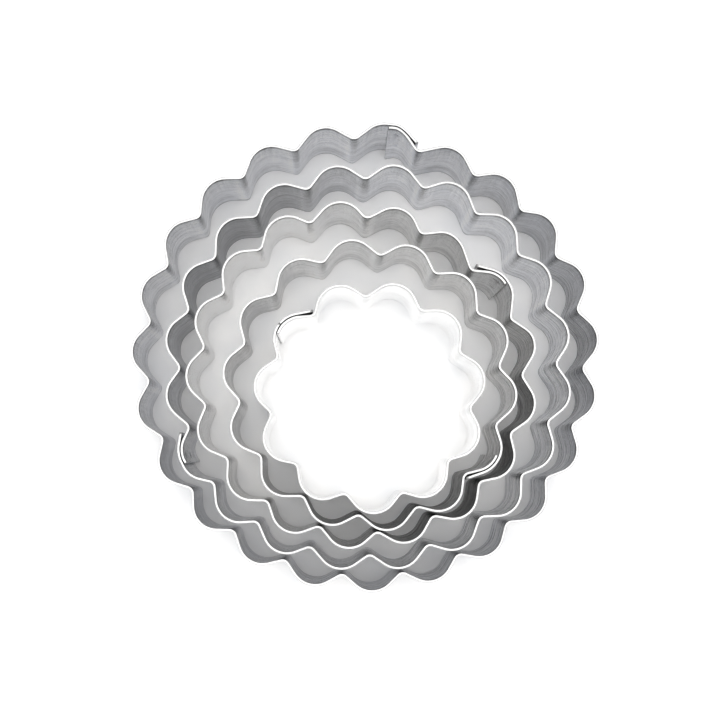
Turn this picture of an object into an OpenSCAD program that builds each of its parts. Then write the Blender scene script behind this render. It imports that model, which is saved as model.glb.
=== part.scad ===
// Nested set of five fluted round cutters for biscuit dough and pastry.
//
// Each cutter is one strip of thin bright sheet, pressed into flutes, bent
// round and closed by a lap seam: the two ends lie over each other on one
// flute and are spot welded there. The outer end springs off the wall in a
// short straight tail. All five stand on their lower edges, one inside
// another, and each smaller one has slid sideways in the next.
//
// The origin is the centre of the largest cutter's outline, on the surface
// that the cutters stand on. +Z points up. Sizes are in millimetres.

/* [Sheet] */

// Thickness of the sheet
sheet = 0.45; // [0.3:0.05:0.6]
// Height of every cutter
height = 30; // [18:1:50]

/* [Flutes] */

// Room that each flute has beside its crest and root, round the middle of their depth
flute_room = 0; // [0:0.1:3]
// Depth of a flute from crest to root, at the middle of the sheet
flute_depth = 2.9; // [2:0.1:3.1]
// Radius of a crest, at the middle of the sheet
crest_r = 4.7; // [3.6:0.1:4.9]
// Radius of a root, at the middle of the sheet
root_r = 1.25; // [0.9:0.05:1.4]

/* [Lap seam] */

// Gap between the two layers of a lap
lap_gap = 0.2; // [0.1:0.05:0.4]
// Diameter of a spot weld
weld_d = 2; // [1.2:0.1:2.6]
// Spot welds in one seam
weld_count = 3; // [2:1:5]
// Height of the lowest weld over the lower edge, and of the top one under the rim
weld_edge = 5; // [3:0.5:8]

/* [Largest cutter] */

// Diameter over the flutes
largest_d = 91.4; // [80:0.2:120]
// Direction of the seam
largest_seam_angle = 82.9; // [0:0.1:360]
// How much wider the lapped flute is than the others
largest_widen = 1.5; // [0:0.1:3]
// How much more room the flutes on both sides of the seam take up, in all
largest_spread = 1.1; // [-2:0.1:4]
// How far the lap's outer layer stands outside the cutter's round
largest_stand = 0.5; // [-0.5:0.1:2]
// How far the wall sinks in beside the lap's inner layer
largest_sink = 0.9; // [-1:0.1:1.1]
// Angle round the crest at which the outer layer leaves it in a straight tail
largest_leave = 42; // [25:1:50]
// Length of the straight tail
largest_tail = 2.6; // [1.5:0.1:4]
// How far the inner end reaches past the crest
largest_past = 1.1; // [0.2:0.1:2]

/* [Large cutter] */

// How much smaller it is than the largest one, over the flutes
large_step = 11.6; // [9:0.2:14]
// Direction of the seam
large_seam_angle = 206.6; // [0:0.1:360]
// How much wider the lapped flute is than the others
large_widen = 1.3; // [0:0.1:3]
// How much more room the flutes on both sides of the seam take up, in all
large_spread = -1.8; // [-2:0.1:4]
// How far the lap's outer layer stands outside the cutter's round
large_stand = 1.2; // [-0.5:0.1:2]
// How far the wall sinks in beside the lap's inner layer
large_sink = 0.5; // [-1:0.1:1.1]
// Angle round the crest at which the outer layer leaves it in a straight tail
large_leave = 36; // [25:1:50]
// Length of the straight tail
large_tail = 3.0; // [1.5:0.1:4]
// How far the inner end reaches past the crest
large_past = 1.0; // [0.2:0.1:2]
// Direction in which it has slid
large_slide_angle = 286; // [0:1:360]
// Clearance left where it comes nearest to the largest one
large_clear = 0.55; // [0.3:0.05:1.5]

/* [Middle cutter] */

// How much smaller it is than the large one, over the flutes
middle_step = 10.8; // [9:0.2:14]
// Direction of the seam
middle_seam_angle = 33.2; // [0:0.1:360]
// How much wider the lapped flute is than the others
middle_widen = 0.4; // [0:0.1:3]
// How much more room the flutes on both sides of the seam take up, in all
middle_spread = 3.4; // [0:0.1:4]
// How far the lap's outer layer stands outside the cutter's round
middle_stand = -0.4; // [-0.5:0.1:2]
// How far the wall sinks in beside the lap's inner layer
middle_sink = 1.1; // [-1:0.1:1.1]
// Angle round the crest at which the outer layer leaves it in a straight tail
middle_leave = 42; // [25:1:50]
// Length of the straight tail
middle_tail = 3.4; // [1.5:0.1:4]
// How far the inner end reaches past the crest
middle_past = 0.3; // [0.2:0.1:2]
// Direction in which it has slid
middle_slide_angle = 227; // [0:1:360]
// Clearance left where it comes nearest to the large one
middle_clear = 1.2; // [0.3:0.05:1.5]

/* [Small cutter] */

// How much smaller it is than the middle one, over the flutes
small_step = 12; // [9:0.2:14]
// Direction of the seam
small_seam_angle = 329.1; // [0:0.1:360]
// How much wider the lapped flute is than the others
small_widen = 0.2; // [0:0.1:3]
// How much more room the flutes on both sides of the seam take up, in all
small_spread = -1.1; // [-2:0.1:4]
// How far the lap's outer layer stands outside the cutter's round
small_stand = 1.0; // [-0.5:0.1:2]
// How far the wall sinks in beside the lap's inner layer
small_sink = -0.3; // [-1:0.1:1.1]
// Angle round the crest at which the outer layer leaves it in a straight tail
small_leave = 40; // [25:1:50]
// Length of the straight tail
small_tail = 4.0; // [1.5:0.1:4]
// How far the inner end reaches past the crest
small_past = 0.9; // [0.2:0.1:2]
// Direction in which it has slid
small_slide_angle = 295; // [0:1:360]
// Clearance left where it comes nearest to the middle one
small_clear = 0.3; // [0.3:0.05:1.5]

/* [Smallest cutter] */

// How much smaller it is than the small one, over the flutes
smallest_step = 11.8; // [9:0.2:14]
// Direction of the seam
smallest_seam_angle = 141; // [0:0.1:360]
// How much wider the lapped flute is than the others
smallest_widen = 0; // [0:0.1:3]
// How much more room the flutes on both sides of the seam take up, in all
smallest_spread = -1.2; // [-2:0.1:4]
// How far the lap's outer layer stands outside the cutter's round
smallest_stand = 0.6; // [-0.5:0.1:2]
// How far the wall sinks in beside the lap's inner layer
smallest_sink = -0.6; // [-1:0.1:0.6]
// Angle round the crest at which the outer layer leaves it in a straight tail
smallest_leave = 40; // [25:1:50]
// Length of the straight tail
smallest_tail = 3.6; // [1.5:0.1:4]
// How far the inner end reaches past the crest
smallest_past = 1.8; // [0.2:0.1:2]
// Direction in which it has slid
smallest_slide_angle = 281; // [0:1:360]
// Clearance left where it comes nearest to the small one
smallest_clear = 0.65; // [0.3:0.05:1.5]

/* [Hidden] */

// Colours of the bright sheet and of the welds in it
bright = [0.78, 0.79, 0.80];
weld_grey = [0.52, 0.52, 0.53];

// The cutters by number, from 0, the largest, to 4, the smallest
steps = [0, large_step, middle_step, small_step, smallest_step];
seams = [largest_seam_angle, large_seam_angle, middle_seam_angle, small_seam_angle, smallest_seam_angle];
widens = [largest_widen, large_widen, middle_widen, small_widen, smallest_widen];
spreads = [largest_spread, large_spread, middle_spread, small_spread, smallest_spread];
stands = [largest_stand, large_stand, middle_stand, small_stand, smallest_stand];
sinks = [largest_sink, large_sink, middle_sink, small_sink, smallest_sink];
leaves = [largest_leave, large_leave, middle_leave, small_leave, smallest_leave];
tails = [largest_tail, large_tail, middle_tail, small_tail, smallest_tail];
pasts = [largest_past, large_past, middle_past, small_past, smallest_past];
slides = [0, large_slide_angle, middle_slide_angle, small_slide_angle, smallest_slide_angle];
clears = [0, large_clear, middle_clear, small_clear, smallest_clear];
// The middle cutter lies the other way up, so its strip runs the other way
hands = [-1, -1, 1, -1, -1];

// Flutes over which the wall comes back to its round on each side of a seam
fade = 3;
// Angle of one facet on a crest, and number of facets in a root
crest_facet_angle = 10;
root_facets = 5;
// Reach of a cutter that meets nothing
far = 1000;
// How far the outer layer of a lap lies outside the inner one
lift = sheet + lap_gap;

function unit(a) = [cos(a), sin(a)];
function reversed(list) = [for (k = [len(list) - 1 : -1 : 0]) list[k]];
// Direction of v, as an angle within half a turn of the angle near
function direction(v, near) = near + atan2(v * unit(near + 90), v * unit(near));

function over_d(i) = i == 0 ? largest_d : over_d(i - 1) - steps[i];
// As many flutes as there is room for, round the middle of their depth
function flutes(i) =
    floor(PI * (over_d(i) - sheet - flute_depth) / (2 * (crest_r + root_r) + flute_room));
// Radius on which the centres of the crests' circles and the roots' circles lie
function crest_ring(i) = (over_d(i) - sheet) / 2 - crest_r;
function root_ring(i) = (over_d(i) - sheet) / 2 - flute_depth + root_r;
// Angle that the flutes beside the seam take up beyond an even share
function extra(i) = spreads[i] / crest_ring(i) * 180 / PI;
// Angle from one flute to the next, away from the seam
function turn(i) = (360 - 2 * asin(widens[i] / 2 / crest_ring(i)) - extra(i)) / flutes(i);
// Direction of the place u flutes along the strip, where a flute is the wider
// the nearer it lies to the seam
function heading(i, u) =
    let (left = flutes(i) - u)
    u < fade ? u * turn(i) + extra(i) / 2 * (1 - pow(1 - u / fade, 2)) :
    left < fade ? u * turn(i) + extra(i) / 2 * (1 + pow(1 - left / fade, 2)) :
    u * turn(i) + extra(i) / 2;

// How far the wall lies outside its round, u flutes along the strip. The strip
// starts as the inner layer of the lap and ends as the outer one.
function shift(i, u) =
    let (inner = stands[i] - lift)
    let (left = flutes(i) - u)
    u < 1 ? inner - sinks[i] * u :
    u < 1 + fade ? (inner - sinks[i]) * (1 + fade - u) / fade :
    left < fade ? stands[i] * (fade - left) / fade : 0;

// Centres of crest k's circle and of the circle of the root that follows it
function crest(i, k) = (crest_ring(i) + shift(i, k)) * unit(heading(i, k));
function root(i, k) = (root_ring(i) + shift(i, k + 0.5)) * unit(heading(i, k + 0.5));

// Normal angles of the straight flanks after and before crest k, each the
// inner tangent of the crest's circle and its neighbour root's circle
function flank_after(i, k) =
    let (v = root(i, k) - crest(i, k))
    direction(v, heading(i, k)) - acos((crest_r + root_r) / norm(v));
function flank_before(i, k) =
    let (v = root(i, k - 1) - crest(i, k))
    direction(v, heading(i, k)) + acos((crest_r + root_r) / norm(v));

// Normal angle of the flat stretch that leads the outer layer over the inner
// one: the outer tangent of its own crest's circle and the lap's circle
function lead(i) =
    let (last = flutes(i))
    let (v = crest(i, last) - crest(i, 0))
    360 + direction(v, -90) + acos(min(1, lift / norm(v)));

// Normal angles from a to b round a crest, on one grid of facets from its own
// direction, so that the two layers of a lap have their facets face to face
function crest_angles(a, b, own) =
    let (grid = [for (g = [-90 : crest_facet_angle : 90]) own + g])
    let (inner = [for (g = grid) if (g > a + 1 && g < b - 1) g])
    concat([a], inner, [b]);

// A station of the strip is [centre, radius, normal angle]: the radius of the
// arc that it lies on is positive on a crest and negative in a root
function arc_stations(centre, radius, angles) = [for (a = angles) [centre, radius, a]];
function crest_stations(i, k, a, b) =
    arc_stations(crest(i, k), crest_r, crest_angles(a, b, heading(i, k)));
function root_stations(i, k) =
    let (a = flank_after(i, k))
    let (b = flank_before(i, k + 1))
    arc_stations(root(i, k), -root_r, [for (j = [0 : root_facets]) a + (b - a) * j / root_facets]);

// Angle from the lap's crest to the inner end of the strip
function past_angle(i) = pasts[i] / crest_r * 180 / PI;
// Angle at which the outer layer leaves the lap, always before the inner
// layer's flank, so that the tail stands off that flank
function leave(i) = min(leaves[i], flank_after(i, 0) - 2);
// The outer layer where it lies on the lap
function lap_stations(i, a) =
    arc_stations(crest(i, 0), crest_r + lift, crest_angles(a, 360 + leave(i), 360));

function stations(i) =
    let (last = flutes(i))
    concat(
        crest_stations(i, 0, -past_angle(i), flank_after(i, 0)),
        [for (k = [1 : last - 1])
            each concat(
                root_stations(i, k - 1),
                crest_stations(i, k, flank_before(i, k), flank_after(i, k)))],
        root_stations(i, last - 1),
        crest_stations(i, last, flank_before(i, last), lead(i)),
        lap_stations(i, lead(i)));

// Point of a station at a given depth in the sheet, from the sheet's middle
function at(s, out) = s[0] + (s[1] + out) * unit(s[2]);
// Length of the straight tail, which stops before it meets the next root's wall
function tail(i) =
    let (start = at([crest(i, 0), crest_r + lift, leave(i)], 0))
    min(tails[i], (root(i, 0) - start) * unit(leave(i) + 90) + root_r / 2);

// One face of the strip: its stations, and the end of the straight tail
function face(i, out) =
    let (path = stations(i))
    let (last = path[len(path) - 1])
    concat([for (s = path) at(s, out)], [at(last, out) + tail(i) * unit(last[2] + 90)]);
function strip(i) = concat(face(i, sheet / 2), reversed(face(i, -sheet / 2)));

// A point of a cutter's own outline, in the nest's directions
function turned(i, p) =
    let (q = [p.x, hands[i] * p.y])
    [q.x * cos(seams[i]) - q.y * sin(seams[i]), q.x * sin(seams[i]) + q.y * cos(seams[i])];

// Round features that may meet a neighbour, each as [centre, radius]: crests
// and flanks on the outside of a cutter, roots and flanks on its inside
function flank_points(i, k, out) =
    let (after = flank_after(i, k))
    let (before = flank_before(i, k + 1))
    let (ends = [[[crest(i, k), crest_r, after], [root(i, k), -root_r, after]],
                 [[root(i, k), -root_r, before], [crest(i, k + 1), crest_r, before]]])
    [for (pair = ends)
        for (share = [0, 0.5, 1])
            [turned(i, (1 - share) * at(pair[0], out) + share * at(pair[1], out)), 0]];
function outside(i) =
    concat(
        [[turned(i, crest(i, 0)), crest_r + lift + sheet / 2]],
        [for (k = [1 : flutes(i)])
            each concat(
                [[turned(i, crest(i, k)), crest_r + sheet / 2]],
                flank_points(i, k - 1, sheet / 2))]);
function inside(i) =
    [for (k = [0 : flutes(i) - 1])
        each concat(
            [[turned(i, root(i, k)), root_r + sheet / 2]],
            flank_points(i, k, -sheet / 2))];

// How far p can move along direction d before it comes within r of q
function reach(p, q, r, d) =
    let (v = q - p)
    let (along = v * d)
    let (miss = v * v - along * along)
    along < 0 || miss >= r * r ? far : along - sqrt(r * r - miss);

// How far a cutter slides in the next larger one, with its clearance left
function slide(i) =
    let (d = unit(slides[i]))
    let (moving = [for (f = outside(i)) if (f[0] * d > 0) f])
    let (fixed = [for (f = inside(i - 1)) if (f[0] * d > 0) f])
    min([for (a = moving) for (b = fixed) reach(a[0], b[0], a[1] + b[1] + clears[i], d)]);

// Centre of a cutter, from the centre of the largest one
function centre(i) = i == 0 ? [0, 0] : centre(i - 1) + slide(i) * unit(slides[i]);

// Middle of the largest cutter's outline, where the origin lies
outline = [for (p = strip(0)) turned(0, p)];
outline_x = [for (p = outline) p.x];
outline_y = [for (p = outline) p.y];
middle = [(max(outline_x) + min(outline_x)) / 2, (max(outline_y) + min(outline_y)) / 2];

// Puts what is drawn in a cutter's own frame, with its seam along +X, in place
module placed(i) {
    translate(concat(centre(i) - middle, [0]))
        rotate([0, 0, seams[i]])
            mirror([0, hands[i] < 0 ? 1 : 0, 0])
                children();
}

// The fluted strip of one cutter, from its inner end to its outer one
module cutter(i) {
    color(bright)
        placed(i)
            linear_extrude(height)
                polygon(strip(i));
}

// The space between the two layers of a lap
module lap_space(i) {
    inner = crest_stations(i, 0, -past_angle(i), leave(i));
    outer = [for (s = inner) [s[0], crest_r + lift, s[2]]];
    linear_extrude(height)
        polygon(concat([for (s = inner) at(s, sheet / 2)],
                       reversed([for (s = outer) at(s, -sheet / 2)])));
}

// The spot welds of one seam, each a nugget that fills the lap's gap
module welds(i) {
    weld_turn = (leave(i) - past_angle(i)) / 2;
    spacing = (height - 2 * weld_edge) / (weld_count - 1);
    color(weld_grey)
        placed(i)
            for (k = [0 : weld_count - 1])
                intersection() {
                    lap_space(i);
                    translate(concat(crest(i, 0), [weld_edge + k * spacing]))
                        rotate([0, 90, weld_turn])
                            cylinder(d = weld_d, h = 2 * crest_r, $fn = 32);
                }
}

module largest_cutter() {
    cutter(0);
}

module large_cutter() {
    cutter(1);
}

module middle_cutter() {
    cutter(2);
}

module small_cutter() {
    cutter(3);
}

module smallest_cutter() {
    cutter(4);
}

module largest_welds() {
    welds(0);
}

module large_welds() {
    welds(1);
}

module middle_welds() {
    welds(2);
}

module small_welds() {
    welds(3);
}

module smallest_welds() {
    welds(4);
}

largest_cutter();
large_cutter();
middle_cutter();
small_cutter();
smallest_cutter();
largest_welds();
large_welds();
middle_welds();
small_welds();
smallest_welds();
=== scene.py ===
import math
import bpy
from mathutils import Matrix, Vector, noise


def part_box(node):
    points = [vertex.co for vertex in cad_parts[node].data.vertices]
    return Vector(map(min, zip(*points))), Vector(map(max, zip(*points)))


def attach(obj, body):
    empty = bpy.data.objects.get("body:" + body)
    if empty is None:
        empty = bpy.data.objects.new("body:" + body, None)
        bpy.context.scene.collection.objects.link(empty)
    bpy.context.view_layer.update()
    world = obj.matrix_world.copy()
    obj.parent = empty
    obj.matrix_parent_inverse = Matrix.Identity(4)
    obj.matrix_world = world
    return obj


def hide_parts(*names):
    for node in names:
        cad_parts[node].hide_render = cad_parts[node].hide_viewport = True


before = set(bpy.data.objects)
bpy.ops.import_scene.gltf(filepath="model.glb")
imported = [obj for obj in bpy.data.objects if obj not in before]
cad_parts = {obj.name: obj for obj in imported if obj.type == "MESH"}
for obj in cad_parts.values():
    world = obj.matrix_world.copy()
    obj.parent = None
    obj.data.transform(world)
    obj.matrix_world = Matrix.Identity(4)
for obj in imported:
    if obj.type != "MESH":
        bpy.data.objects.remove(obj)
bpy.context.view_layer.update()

# A nested set of five fluted round cutters. Each is a strip of thin sheet bent
# round, with its two ends lapped and spot-welded on one flute. Lengths are in
# millimetres and angles in degrees, unless a comment says otherwise.
PER_METRE = 1000.0

# The sheet, its flutes and its lap, as in the CAD model.
SHEET = 0.45
HEIGHT = 30.0
FLUTE_DEPTH = 2.9
CREST_R = 4.7
ROOT_R = 1.25
LAP_GAP = 0.2
LIFT = SHEET + LAP_GAP
WELD_HEIGHTS = (5.0, 15.0, 25.0)
WELD_R = 1.0
# Over how many flutes beside the seam a wall settles back to its round.
FADE = 3.0

# What differs from cutter to cutter:
# over      diameter over the flutes
# flutes    how many there are
# seam      direction of the seam, seen from the cutter's middle
# hand      which way the strip runs: the middle cutter lies the other way up
# widen     how much wider the lapped flute is
# spread    how much wider the flutes beside the seam are, all together
# stand     how far the outer end stands out from the round
# sink      how far the first flute falls back in
# leave     where the tail leaves the crest
# tail      length of the tail
# past      how far the inner end runs past the crest
# nudges    small departures from the round: (direction, half width, x, y)
# splay     how far the foot stands out from the rim
# lean      how far the inner end leans in at its foot
# outside   how much duller the outside is than the inside
# dulled  patches of painted shade that also dull the metal, painted light where the share is
# negative: (direction, half width, share of shine lost)
CUTTERS = {
    "largest": dict(over=91.4, flutes=23, seam=82.9, hand=-1, widen=1.5, spread=1.1,
                    stand=0.5, sink=0.9, leave=42.0, tail=2.4, past=1.1,
                    nudges=[(76, 7, -0.45, -0.1)], splay=0.4, lean=1.2,
                    outside=0.35, dulled=[(20, 50, 0.20), (0, 25, 0.15)]),
    "large": dict(over=79.8, flutes=20, seam=206.6, hand=-1, widen=1.3, spread=-1.8,
                  stand=1.2, sink=0.5, leave=36.0, tail=2.4, past=1.0,
                  nudges=[(200, 10, 0.25, -0.3)], splay=0.0, lean=0.5,
                  outside=0.15, dulled=[(140, 60, 0.42)]),
    "middle": dict(over=69.0, flutes=17, seam=33.2, hand=1, widen=0.4, spread=3.4,
                   stand=-0.4, sink=1.1, leave=42.0, tail=3.2, past=0.3,
                   nudges=[(34, 26, 0.0, -0.75)], splay=0.0, lean=0.5,
                   outside=0.15, dulled=[(320, 75, 0.55), (150, 70, -0.35)]),
    "small": dict(over=57.0, flutes=14, seam=329.1, hand=-1, widen=0.2, spread=-1.1,
                  stand=1.0, sink=-0.3, leave=40.0, tail=4.0, past=0.9,
                  nudges=[], splay=0.0, lean=0.5,
                  outside=0.1, dulled=[(275, 75, 0.66), (150, 35, 0.2)]),
    "smallest": dict(over=45.2, flutes=11, seam=141.0, hand=-1, widen=0.0, spread=-1.2,
                     stand=0.6, sink=-0.6, leave=40.0, tail=3.6, past=1.8,
                     nudges=[], splay=0.0, lean=0.15,
                     outside=0.2, dulled=[(250, 90, 0.2), (0, 60, 0.08)]),
}

# Fineness of the walls: angles between points on crests and on the lap, and the
# number of steps on a root, on a flank and along the tail.
CREST_STEP = 5.0
LAP_STEP = 2.5
ROOT_STEPS = 8
FLANK_STEPS = 3
TAIL_STEPS = 4
# Heights of the plain rows, and the rows on each side of a weld's middle.
PLAIN_ROWS = (1.5, 10.0, 20.0, 28.5)
WELD_ROWS = 4
WELD_ROW_STEP = 0.32
# Rounding of the sheet's cut edges, and the angles of its points.
RIM_ROUND = 0.045
RIM_ANGLES = (30, 60, 90)

# The lean of the inner end: over what length, and how it grows towards the foot.
LEAN_LENGTH = 4.5
LEAN_GROWTH = 1.3
# A nudge is whole up to this share of its half width, and a patch of painted shade too.
NUDGE_WHOLE = 0.4
PATCH_WHOLE = 0.2
# The side on which the sheet is scored the most: direction and half width.
SCORED = (315, 100)
# A weld's dent: depth, and where it starts and ends in radii of the weld.
DENT = 0.12
DENT_FLAT = 0.55
DENT_END = 1.3
DENT_REACH = 3.0
# Unevenness of the walls: depth, bumps per millimetre along the strip and up it,
# and the lengths beside the strip's ends over which it sets in.
UNEVEN = 0.10
UNEVEN_ALONG = 0.11
UNEVEN_UP = 0.05
UNEVEN_START = (6, 14)
SEED_STEP = 10.0

# Scales of the sheet's two maps: one unit is 100 mm along and up the strip, or
# 10 mm from the nearest root.
STRIP_MAP = 100.0
FLUTE_MAP = 10.0

# How strong each kind of mark is on the sheet, and on the cleaner one, which also has less
# painted shade.
SHEET_LOOK = {"Line Strength": 0.75, "Flute Shade": 0.55, "Foot Shade": 0.22,
              "Rim Shade": 0.6, "Smudge Strength": 0.6, "Dirt": 0.75}
CLEAN_LIGHTER_LOOK = {**SHEET_LOOK, "Line Strength": 0.15, "Flute Shade": 0.3,
              "Foot Shade": 0.01, "Dirt": 0.05}
# Colours of the metals, head on and at a grazing angle, and of the cut edges; the smallest
# cutter's metal is lighter as painted light.
COOL_SHINE = (0.86, 0.87, 0.91, 1)
WARM_SHINE = (0.885, 0.88, 0.877, 1)
PAINTED_LIGHT_SHINE = (0.96, 0.96, 0.96, 1)
DULL_GRAZING = (0.8, 0.8, 0.8, 1)
WHITE = (1, 1, 1, 1)
EDGE = (0.5, 0.5, 0.495, 1)
WELD_GREY = (0.32, 0.32, 0.33, 1)

# Bells across a flute, for the painted shade at each root and the painted highlight beside it,
# as distances from the root in centimetres: (middle, width).
ROOT_SHADE_BELL = (0.02, 0.11)
ROOT_HIGHLIGHT_BELL = (-0.13, 0.10)
# Where the crest's share of a mark starts and is whole, in centimetres.
CREST = (0.15, 0.5)
# Bells up the wall for the band of painted shade low on the crests and the painted shadow line
# at the foot, as shares of its height: (middle, width).
LOW_SHADE_BELL = (0.2, 0.17)
FOOT_SHADOW_BELL = (0.012, 0.05)
# Where painted shade under the rim, dirt by the rim and the cut edge start and are whole, as
# shares of the height.
UNDER_RIM_SHADE = (0.9, 0.985)
RIM_DIRT = (0.93, 0.99)
CUT_EDGE = (0.9965, 0.9985)

# The table, in metres, its patches of painted shade and painted glow, and the light that a
# white surround adds to it.
TABLE_HALF = 3.0
TABLE_PAINTED_SHADE = (0.875, 0.88, 0.89, 1)
TABLE_PAINTED_GLOW = (1.0, 0.99, 0.975, 1)
TABLE_GLOW_PATCHES = 120.0
TABLE_LIFT = 0.15

# The studio and the camera, in metres and watts.
ROOM_LIGHT = 0.4
LAMP_WIDTH = 1.0
LAMP_HEIGHT = 1.1
LAMP_POWER = 13.2
LENS = 86.95
SENSOR = 36
CAMERA_PLACE = (-0.00628, -0.02132, 0.368)
CAMERA_TILT = (3.455, -0.888)


def unit(angle):
    """The direction of an angle, as a vector of length 1."""
    return Vector((math.cos(math.radians(angle)), math.sin(math.radians(angle))))


def direction(v, near):
    """Direction of v, within half a turn of the angle near."""
    return near + math.degrees(math.atan2(v.dot(unit(near + 90)), v.dot(unit(near))))


def smooth(low, high, value):
    """A smooth step from 0 at low to 1 at high."""
    t = min(1.0, max(0.0, (value - low) / (high - low)))
    return t * t * (3 - 2 * t)


def nearness(place, centre, width, whole):
    """1 in the middle of a patch of the round, falling to 0 at its half width."""
    return 1 - smooth(whole * width, width, abs(direction(place, centre) - centre))


class Strip:
    """The outline of one cutter's strip, in its own frame with the seam along +X.

    Places along the strip are counted in flutes, from the crest under the lap.
    """

    def __init__(self, name):
        self.name = name
        self.__dict__.update(CUTTERS[name])
        self.crest_ring = (self.over - SHEET) / 2 - CREST_R
        self.root_ring = (self.over - SHEET) / 2 - FLUTE_DEPTH + ROOT_R
        gap = 2 * math.degrees(math.asin(self.widen / 2 / self.crest_ring))
        self.extra = math.degrees(self.spread / self.crest_ring)
        self.turn = (360 - gap - self.extra) / self.flutes
        self.past_angle = math.degrees(self.past / CREST_R)
        self.trace()
        self.measure()
        self.shift_to_nest = self.found_shift()

    def heading(self, u):
        """Direction of the place u flutes along the strip."""
        left = self.flutes - u
        share = 1.0
        if u < FADE:
            share = 1 - (1 - u / FADE) ** 2
        if left < FADE:
            share = 1 + (1 - left / FADE) ** 2
        return u * self.turn + self.extra / 2 * share

    def shift(self, u):
        """How far the wall lies outside its round, u flutes along the strip."""
        inner = self.stand - LIFT
        left = self.flutes - u
        if u < 1:
            return inner - self.sink * u
        if u < 1 + FADE:
            return (inner - self.sink) * (1 + FADE - u) / FADE
        if left < FADE:
            return self.stand * (FADE - left) / FADE
        return 0.0

    def crest(self, k):
        """Centre of crest k's arc."""
        return (self.crest_ring + self.shift(k)) * unit(self.heading(k))

    def root(self, k):
        """Centre of the arc of the root after crest k."""
        return (self.root_ring + self.shift(k + 0.5)) * unit(self.heading(k + 0.5))

    def flank_angle(self, k, root, side):
        """Angle of the normal of the flank between crest k and a root's centre."""
        v = root - self.crest(k)
        between = math.degrees(math.acos((CREST_R + ROOT_R) / v.length))
        return direction(v, self.heading(k)) + side * between

    def flank_after(self, k):
        return self.flank_angle(k, self.root(k), -1)

    def flank_before(self, k):
        return self.flank_angle(k, self.root(k - 1), 1)

    def lead(self):
        """Where the outer end, on its way over the inner one, meets the lap's arc."""
        v = self.crest(self.flutes) - self.crest(0)
        climb = math.degrees(math.acos(min(1.0, LIFT / v.length)))
        return 360 + direction(v, -90) + climb

    def trace(self):
        """Find the path: points along the sheet's middle, with their normals' angles."""
        path = self.path = []
        self.root_points = []

        def arc(centre, radius, start, end, step):
            count = max(1, math.ceil(abs(end - start) / step))
            for j in range(count + 1):
                angle = start + (end - start) * j / count
                path.append((centre + radius * unit(angle), angle))

        def straight(end_point, angle, steps):
            begin = path[-1][0]
            for j in range(1, steps):
                path.append((begin.lerp(end_point, j / steps), angle))

        last = self.flutes
        arc(self.crest(0), CREST_R, -self.past_angle, self.flank_after(0), LAP_STEP)
        for k in range(last):
            after, before = self.flank_after(k), self.flank_before(k + 1)
            straight(self.root(k) - ROOT_R * unit(after), after, FLANK_STEPS)
            self.root_points.append(len(path) + ROOT_STEPS // 2)
            arc(self.root(k), -ROOT_R, after, before, abs(after - before) / ROOT_STEPS)
            straight(self.crest(k + 1) + CREST_R * unit(before), before, FLANK_STEPS)
            end = self.flank_after(k + 1) if k + 1 < last else self.lead()
            arc(self.crest(k + 1), CREST_R, before, end, CREST_STEP)
        arc(self.crest(0), CREST_R + LIFT, self.lead(), 360 + self.leave, LAP_STEP)
        # The tail stops short of the next root's wall.
        point, angle = path[-1]
        onward = unit(angle + 90)
        self.tail = min(self.tail, (self.root(0) - point).dot(onward) + ROOT_R / 2)
        for j in range(1, TAIL_STEPS + 1):
            path.append((point + self.tail * j / TAIL_STEPS * onward, angle))

    def measure(self):
        """Lengths along the strip to each point, to the roots and to the welds."""
        self.lengths = [0.0]
        for (a, _), (b, _) in zip(self.path, self.path[1:]):
            self.lengths.append(self.lengths[-1] + (b - a).length)
        self.total = self.lengths[-1]
        self.roots = [self.lengths[j] for j in self.root_points]
        half_lap = math.radians((self.leave + self.past_angle) / 2)
        self.inner_weld = CREST_R * half_lap
        self.outer_weld = self.total - self.tail - (CREST_R + LIFT) * half_lap

    def turned(self, p):
        """A point of the strip's own frame, in the nest's directions."""
        q = Vector((p.x, self.hand * p.y))
        c, s = math.cos(math.radians(self.seam)), math.sin(math.radians(self.seam))
        return Vector((q.x * c - q.y * s, q.x * s + q.y * c))

    def found_shift(self):
        """From the cutter's middle to its place in the nest, from the CAD node's box."""
        outline = [self.turned(p + SHEET / 2 * unit(angle)) for p, angle in self.path]
        low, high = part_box(self.name + "_cutter")
        middle = (low + high) / 2 * PER_METRE
        return Vector([middle[axis] - (max(p[axis] for p in outline)
                                       + min(p[axis] for p in outline)) / 2
                       for axis in (0, 1)])

    def nudge(self, q):
        """How far a place of the wall, in the nest's directions, is off its round."""
        moved = Vector((0.0, 0.0))
        for centre, width, x, y in self.nudges:
            moved += nearness(q, centre, width, NUDGE_WHOLE) * Vector((x, y))
        return moved

    def outward(self, along, depth, z):
        """How far a point of the sheet lies outside the path."""
        down = max(0.0, 1 - z / HEIGHT)
        out = depth + self.splay * down
        out -= self.lean * (1 - smooth(0, LEAN_LENGTH, along)) * down ** LEAN_GROWTH
        # Weld dents go into the sheet from both faces of the lap.
        if depth < 0 and along < 2 * self.inner_weld + DENT_REACH:
            out += dent(along - self.inner_weld, z)
        if depth > 0 and along > self.outer_weld - DENT_REACH:
            out -= dent(along - self.outer_weld, z)
        # Slight unevenness, from bending and use, leaves the seam alone.
        calm = smooth(*UNEVEN_START, along) * smooth(*UNEVEN_START, self.total - along)
        seed = SEED_STEP * list(CUTTERS).index(self.name)
        spot = Vector((along * UNEVEN_ALONG, z * UNEVEN_UP, seed))
        return out + calm * UNEVEN * noise.noise(spot)

    def shading_and_scoring(self, place):
        """How much painted shade, painted light where negative, and dulling the sheet has at a
        place of the path, and how scored it is.
        """
        shade_and_dulling = sum(much * nearness(place, centre, width, PATCH_WHOLE)
                   for centre, width, much in self.dulled)
        return shade_and_dulling, nearness(place, *SCORED, PATCH_WHOLE)


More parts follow.
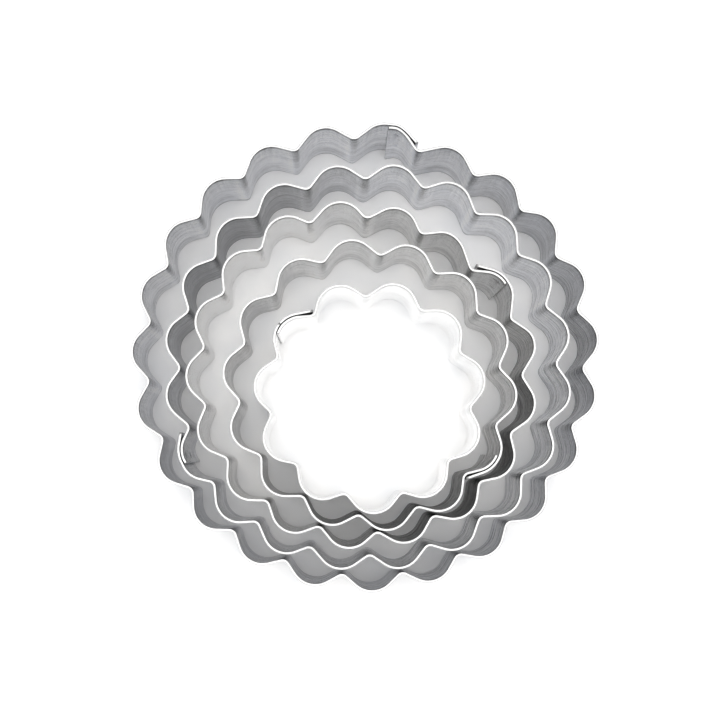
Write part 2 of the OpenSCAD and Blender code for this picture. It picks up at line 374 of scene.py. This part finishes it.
def dent(away, z):
    """Depth of the weld dents at a distance along the strip from the welds' line."""
    nearest = min(math.hypot(away, z - height) for height in WELD_HEIGHTS)
    return DENT * (1 - smooth(DENT_FLAT, DENT_END, nearest / WELD_R))


def wall_rows():
    """Heights of the rows of a wall, closer together round the spot welds."""
    rows = {RIM_ROUND, HEIGHT - RIM_ROUND, *PLAIN_ROWS}
    for middle in WELD_HEIGHTS:
        for j in range(-WELD_ROWS, WELD_ROWS + 1):
            rows.add(middle + j * WELD_ROW_STEP)
    return sorted(rows)


def sheet_section():
    """One turn round the sheet's cross-section: (depth from the middle, height)."""
    half, r = SHEET / 2, RIM_ROUND
    rows = wall_rows()
    rim = [(half - r + r * unit(a).x, HEIGHT - r + r * unit(a).y) for a in RIM_ANGLES]
    foot = [(d, HEIGHT - z) for d, z in rim]
    section = [(half, z) for z in rows]
    section += rim
    section += [(-d, z) for d, z in reversed(rim)]
    section += [(-half, z) for z in reversed(rows)]
    section += [(-d, z) for d, z in foot]
    section += [(d, z) for d, z in reversed(foot)]
    return section


def wall_points(strip, section):
    """Corners of the wall in metres, and how much painted shade and dulling and how much
    scoring each has.
    """
    points, dulled, scored = [], [], []
    for (p, angle), along in zip(strip.path, strip.lengths):
        shade_and_dulling, lined = strip.shading_and_scoring(strip.turned(p))
        for depth, z in section:
            q = strip.turned(p + strip.outward(along, depth, z) * unit(angle))
            q += strip.nudge(q) + strip.shift_to_nest
            points.append((q.x / PER_METRE, q.y / PER_METRE, z / PER_METRE))
            dulled.append(min(1.0, shade_and_dulling + (strip.outside if depth > 0 else 0.0)))
            scored.append(lined)
    return points, dulled, scored


def wall_faces(strip, section):
    """Faces of the wall, and for each of their corners the place on the flat strip."""
    lengths, size = strip.lengths, len(section)
    across = [0.0]
    for (d0, z0), (d1, z1) in zip(section, section[1:] + section[:1]):
        across.append(across[-1] + math.hypot(d1 - d0, z1 - z0))
    faces, places = [], []

    def add(corners, where, flipped):
        if flipped:
            corners, where = corners[::-1], where[::-1]
        faces.append([j * size + k for j, k in corners])
        places.extend(where)

    for j in range(len(lengths) - 1):
        here, there = lengths[j], lengths[j + 1]
        for k in range(size):
            m = (k + 1) % size
            add([(j, k), (j + 1, k), (j + 1, m), (j, m)],
                [(here, across[k]), (there, across[k]),
                 (there, across[k + 1]), (here, across[k + 1])], strip.hand < 0)
    for j, at_start in ((0, True), (len(lengths) - 1, False)):
        add([(j, k) for k in range(size)],
            [(lengths[j] + section[k][0], across[k]) for k in range(size)],
            at_start == (strip.hand < 0))
    return faces, places


def map_strip(mesh, places):
    """Map of the flat strip, along it and round its section."""
    layer = mesh.uv_layers.new(name="strip")
    for item, (u, v) in zip(layer.data, places):
        item.uv = (u / STRIP_MAP, v / STRIP_MAP)


def map_flutes(mesh, places, roots):
    """Map of a flute: distance of a face's corners from its nearest root, and height."""
    layer = mesh.uv_layers.new(name="flute")
    for face in mesh.polygons:
        along = [places[j][0] for j in face.loop_indices]
        middle = sum(along) / len(along)
        nearest = min(roots, key=lambda root: abs(root - middle))
        for j, u in zip(face.loop_indices, along):
            z = mesh.vertices[mesh.loops[j].vertex_index].co.z * PER_METRE
            layer.data[j].uv = ((u - nearest) / FLUTE_MAP, z / HEIGHT)


def dressed_cutter(name, material):
    """One cutter's wall, in place of its CAD node."""
    strip = Strip(name)
    section = sheet_section()
    points, dulled, scored = wall_points(strip, section)
    faces, places = wall_faces(strip, section)
    mesh = bpy.data.meshes.new(name + "_wall")
    mesh.from_pydata(points, [], faces)
    map_strip(mesh, places)
    map_flutes(mesh, places, strip.roots)
    for label, values in (("dulled", dulled), ("scored", scored)):
        mesh.attributes.new(label, "FLOAT", "POINT").data.foreach_set("value", values)
    # Smooth walls with flat ends.
    mesh.polygons.foreach_set("use_smooth", [True] * len(mesh.polygons))
    mesh.polygons[-1].use_smooth = False
    mesh.polygons[-2].use_smooth = False
    mesh.materials.append(material)
    mesh.validate()
    piece = bpy.data.objects.new(name + "_wall", mesh)
    bpy.context.scene.collection.objects.link(piece)
    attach(piece, name)
    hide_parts(name + "_cutter")


class Build:
    """Short forms for making and joining shader nodes."""

    def __init__(self, tree):
        self.tree = tree

    def node(self, kind, inputs=None, **values):
        made = self.tree.nodes.new("ShaderNode" + kind)
        for key, value in values.items():
            setattr(made, key, value)
        for key, value in (inputs or {}).items():
            self.put(made.inputs[key], value)
        return made

    def put(self, socket, value):
        if hasattr(value, "is_output"):
            self.tree.links.new(value, socket)
        else:
            socket.default_value = value

    def math(self, operation, *values):
        return self.node("Math", dict(enumerate(values)), operation=operation).outputs[0]

    def plus(self, *values):
        total = values[0]
        for value in values[1:]:
            total = self.math("ADD", total, value)
        return total

    def minus(self, value, other):
        return self.math("SUBTRACT", value, other)

    def times(self, *values):
        product = values[0]
        for value in values[1:]:
            product = self.math("MULTIPLY", product, value)
        return product

    def ramp(self, value, low, high, to_low=0.0, to_high=1.0):
        """A smooth step from one value to another."""
        made = self.node("MapRange", {"Value": value, "From Min": low, "From Max": high,
                                      "To Min": to_low, "To Max": to_high},
                         interpolation_type="SMOOTHSTEP")
        return made.outputs["Result"]

    def bell(self, value, centre, width):
        """One at the centre, falling smoothly to nothing at the width from it."""
        return self.ramp(self.math("ABSOLUTE", self.minus(value, centre)), 0.0, width, 1.0, 0.0)

    def centred(self, value):
        """A value from 0 to 1, moved to lie round 0."""
        return self.minus(value, 0.5)

    def noise(self, vector, along, up, detail=2.0, rough=0.5):
        """Clouds, with so many to a unit of the map along it and up it."""
        scaled = self.node("Mapping", {"Vector": vector, "Scale": (along, up, 1.0)})
        made = self.node("TexNoise", {"Vector": scaled.outputs["Vector"], "Scale": 1.0,
                                      "Detail": detail, "Roughness": rough})
        return made.outputs["Fac"]

    def painted(self, name):
        """An amount that the mesh carries at its points."""
        return self.node("Attribute", attribute_name=name).outputs["Fac"]


def sheet_marks():
    """Marks of rolling and use on a strip of sheet, with painted shade at the roots, low on the
    crests, at the foot and under the rim, and a painted highlight beside each root, as one node
    group.
    """
    group = bpy.data.node_groups.new("sheet_marks", "ShaderNodeTree")
    for name, value in SHEET_LOOK.items():
        socket = group.interface.new_socket(name, in_out="INPUT", socket_type="NodeSocketFloat")
        socket.default_value = value
    for name in ("Tone", "Metal", "Roughness", "Height", "Edge"):
        group.interface.new_socket(name, in_out="OUTPUT", socket_type="NodeSocketFloat")
    b = Build(group)
    given = group.nodes.new("NodeGroupInput").outputs
    out = group.nodes.new("NodeGroupOutput").inputs
    strip = b.node("UVMap", uv_map="strip").outputs["UV"]
    flute = b.node("SeparateXYZ", {0: b.node("UVMap", uv_map="flute").outputs["UV"]})
    side, high = flute.outputs["X"], flute.outputs["Y"]
    # Patches of painted shade and light, with the duller outside, darken the tone here.
    shade_and_dulling = b.painted("dulled")
    deep = b.ramp(b.painted("scored"), 0.0, 1.0, 0.4, 1.25)
    # Lines along the strip, from rolling, with a finer grain, and fainter ones across.
    lines = b.noise(strip, along=4.0, up=50.0, detail=6.0, rough=0.8)
    fine = b.noise(strip, along=40.0, up=170.0, detail=3.0, rough=0.7)
    cross = b.noise(strip, along=150.0, up=6.0, detail=4.0, rough=0.75)
    smudge = b.noise(strip, along=14.0, up=14.0, detail=4.0, rough=0.55)
    drawn = b.times(b.centred(b.ramp(lines, 0.32, 0.68)), deep, 0.6)
    grain = b.times(b.centred(fine), 1.8)
    across = b.times(b.centred(b.ramp(cross, 0.3, 0.7)), b.ramp(high, 0.2, 1.0, 0.1, 0.5))
    rolled = b.times(b.plus(drawn, grain, across), given["Line Strength"])
    smear = b.times(b.centred(smudge), given["Smudge Strength"])
    # Painted shade darkens each root, most of all under the rim, with a painted highlight
    # beside it.
    wander = b.times(b.centred(b.noise(strip, along=20.0, up=9.0)), 0.08)
    beside = b.plus(side, wander)
    root_shade = b.times(b.bell(beside, *ROOT_SHADE_BELL), b.ramp(high, 0.1, 1.0))
    root_highlight = b.times(b.bell(beside, *ROOT_HIGHLIGHT_BELL), 0.35)
    root_shade_and_highlight = b.times(b.minus(root_shade, root_highlight), given["Flute Shade"])
    # Painted shade: a band low on each crest, a line under the rim, and a painted shadow line
    # at the foot.
    crest = b.ramp(b.math("ABSOLUTE", side), *CREST)
    low_shade = b.times(b.bell(high, *LOW_SHADE_BELL), b.ramp(crest, 0.0, 1.0, 0.35, 1.0))
    foot = b.times(b.bell(high, *FOOT_SHADOW_BELL), 1.6)
    rim_shade = b.times(b.ramp(high, *UNDER_RIM_SHADE), b.ramp(crest, 0.0, 1.0, 0.6, 1.0))
    painted_shade_total = b.plus(root_shade_and_highlight, b.times(b.plus(low_shade, foot), given["Foot Shade"]),
                  b.times(rim_shade, given["Rim Shade"]))
    tone = b.times(b.minus(b.plus(1.0, rolled, smear), painted_shade_total), b.minus(1.0, shade_and_dulling))
    # Dirt sits in the deeper lines, in the patches of painted shade and close under the rim.
    in_lines = b.times(b.ramp(lines, 0.54, 0.38), b.plus(b.times(shade_and_dulling, 0.5), 0.45), deep)
    by_rim = b.times(b.ramp(high, *RIM_DIRT), 0.35)
    dirt = b.times(b.plus(in_lines, b.times(shade_and_dulling, 0.45), by_rim), given["Dirt"])
    b.put(out["Tone"], b.math("MAXIMUM", tone, 0.05))
    b.put(out["Metal"], b.math("MAXIMUM", b.minus(1.0, dirt), 0.0))
    b.put(out["Roughness"], b.plus(b.times(smudge, 0.10), b.times(lines, 0.14), 0.12))
    b.put(out["Height"], b.plus(lines, b.times(smudge, 0.6)))
    b.put(out["Edge"], b.ramp(high, *CUT_EDGE))
    return group


def metal(name, marks, shine, grazing, look):
    """Sheet metal with the given marks and a plain cut edge."""
    material = bpy.data.materials.new(name)
    material.use_nodes = True
    b = Build(material.node_tree)
    shader = b.tree.nodes["Principled BSDF"].inputs
    made = b.node("Group", node_tree=marks)
    for key, value in look.items():
        made.inputs[key].default_value = value
    mark = made.outputs
    wall = b.node("MixRGB", {0: 1.0, 1: shine, 2: mark["Tone"]}, blend_type="MULTIPLY")
    colour = b.node("MixRGB", {0: mark["Edge"], 1: wall.outputs[0], 2: EDGE})
    b.put(shader["Base Color"], colour.outputs[0])
    b.put(shader["Roughness"], b.plus(mark["Roughness"], b.times(mark["Edge"], 0.3)))
    b.put(shader["Metallic"], b.math("MAXIMUM", mark["Metal"], mark["Edge"]))
    shader["Specular IOR Level"].default_value = 0.0
    shader["Specular Tint"].default_value = grazing
    bump = b.node("Bump", {"Strength": 0.12, "Distance": 0.0001, "Height": mark["Height"]})
    b.put(shader["Normal"], bump.outputs["Normal"])
    return material


def weld_metal():
    """The dull grey of a spot weld."""
    material = bpy.data.materials.new("spot_weld_grey")
    material.use_nodes = True
    shader = material.node_tree.nodes["Principled BSDF"].inputs
    shader["Metallic"].default_value = 1.0
    shader["Base Color"].default_value = WELD_GREY
    shader["Roughness"].default_value = 0.5
    return material


def dressed_set():
    """All cutters with their metals."""
    marks = sheet_marks()
    cool = metal("cool_rolled_sheet", marks, COOL_SHINE, DULL_GRAZING, SHEET_LOOK)
    warm = metal("warm_rolled_sheet", marks, WARM_SHINE, DULL_GRAZING, SHEET_LOOK)
    # The smallest cutter gets a lighter metal as painted light, and is cleaner.
    clean_and_lighter = metal("clean_painted_light_sheet", marks, PAINTED_LIGHT_SHINE, WHITE, CLEAN_LIGHTER_LOOK)
    finishes = {"largest": cool, "large": cool, "middle": warm, "small": warm,
                "smallest": clean_and_lighter}
    weld_finish = weld_metal()
    for name, finish in finishes.items():
        dressed_cutter(name, finish)
        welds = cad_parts[name + "_welds"]
        welds.data.materials.clear()
        welds.data.materials.append(weld_finish)


def table_white():
    """White with faint patches of painted light and shade, lifted where the camera or the metal
    sees it.
    """
    material = bpy.data.materials.new("white_table")
    material.use_nodes = True
    b = Build(material.node_tree)
    shader = b.tree.nodes["Principled BSDF"].inputs
    spot = b.node("TexCoord").outputs["Object"]
    # Patches of painted light and shade on the table.
    glow_patch = b.node("ValToRGB", {0: b.noise(spot, TABLE_GLOW_PATCHES, TABLE_GLOW_PATCHES)})
    shade_stop, glow_stop = glow_patch.color_ramp.elements
    shade_stop.position, shade_stop.color = 0.35, TABLE_PAINTED_SHADE
    glow_stop.position, glow_stop.color = 0.65, TABLE_PAINTED_GLOW
    b.put(shader["Base Color"], glow_patch.outputs[0])
    shader["Roughness"].default_value = 0.6
    shader["Specular IOR Level"].default_value = 0.2
    shader["Emission Color"].default_value = WHITE
    ray = b.node("LightPath").outputs
    seen = b.plus(ray["Is Camera Ray"], ray["Is Glossy Ray"])
    b.put(shader["Emission Strength"], b.times(seen, TABLE_LIFT))
    return material


def floor():
    """The table that the set stands on."""
    half = TABLE_HALF
    mesh = bpy.data.meshes.new("floor")
    mesh.from_pydata([(-half, -half, 0), (half, -half, 0), (half, half, 0), (-half, half, 0)],
                     [], [(0, 1, 2, 3)])
    mesh.materials.append(table_white())
    piece = bpy.data.objects.new("floor", mesh)
    bpy.context.scene.collection.objects.link(piece)


def studio():
    """An even white room with one wide lamp overhead."""
    world = bpy.data.worlds.new("studio")
    bpy.context.scene.world = world
    world.use_nodes = True
    background = world.node_tree.nodes["Background"].inputs
    background["Color"].default_value = WHITE
    background["Strength"].default_value = ROOM_LIGHT
    lamp = bpy.data.lights.new("overhead", "AREA")
    lamp.shape = "DISK"
    lamp.size = LAMP_WIDTH
    lamp.energy = LAMP_POWER
    piece = bpy.data.objects.new("overhead", lamp)
    piece.location = (0, 0, LAMP_HEIGHT)
    bpy.context.scene.collection.objects.link(piece)


def camera():
    """The camera, almost straight above the set."""
    data = bpy.data.cameras.new("camera")
    data.sensor_width = SENSOR
    data.lens = LENS
    piece = bpy.data.objects.new("camera", data)
    piece.location = CAMERA_PLACE
    piece.rotation_euler = (*(math.radians(angle) for angle in CAMERA_TILT), 0)
    bpy.context.scene.collection.objects.link(piece)
    bpy.context.scene.camera = piece


dressed_set()
floor()
studio()
camera()
bpy.context.scene.view_settings.view_transform = "Standard"
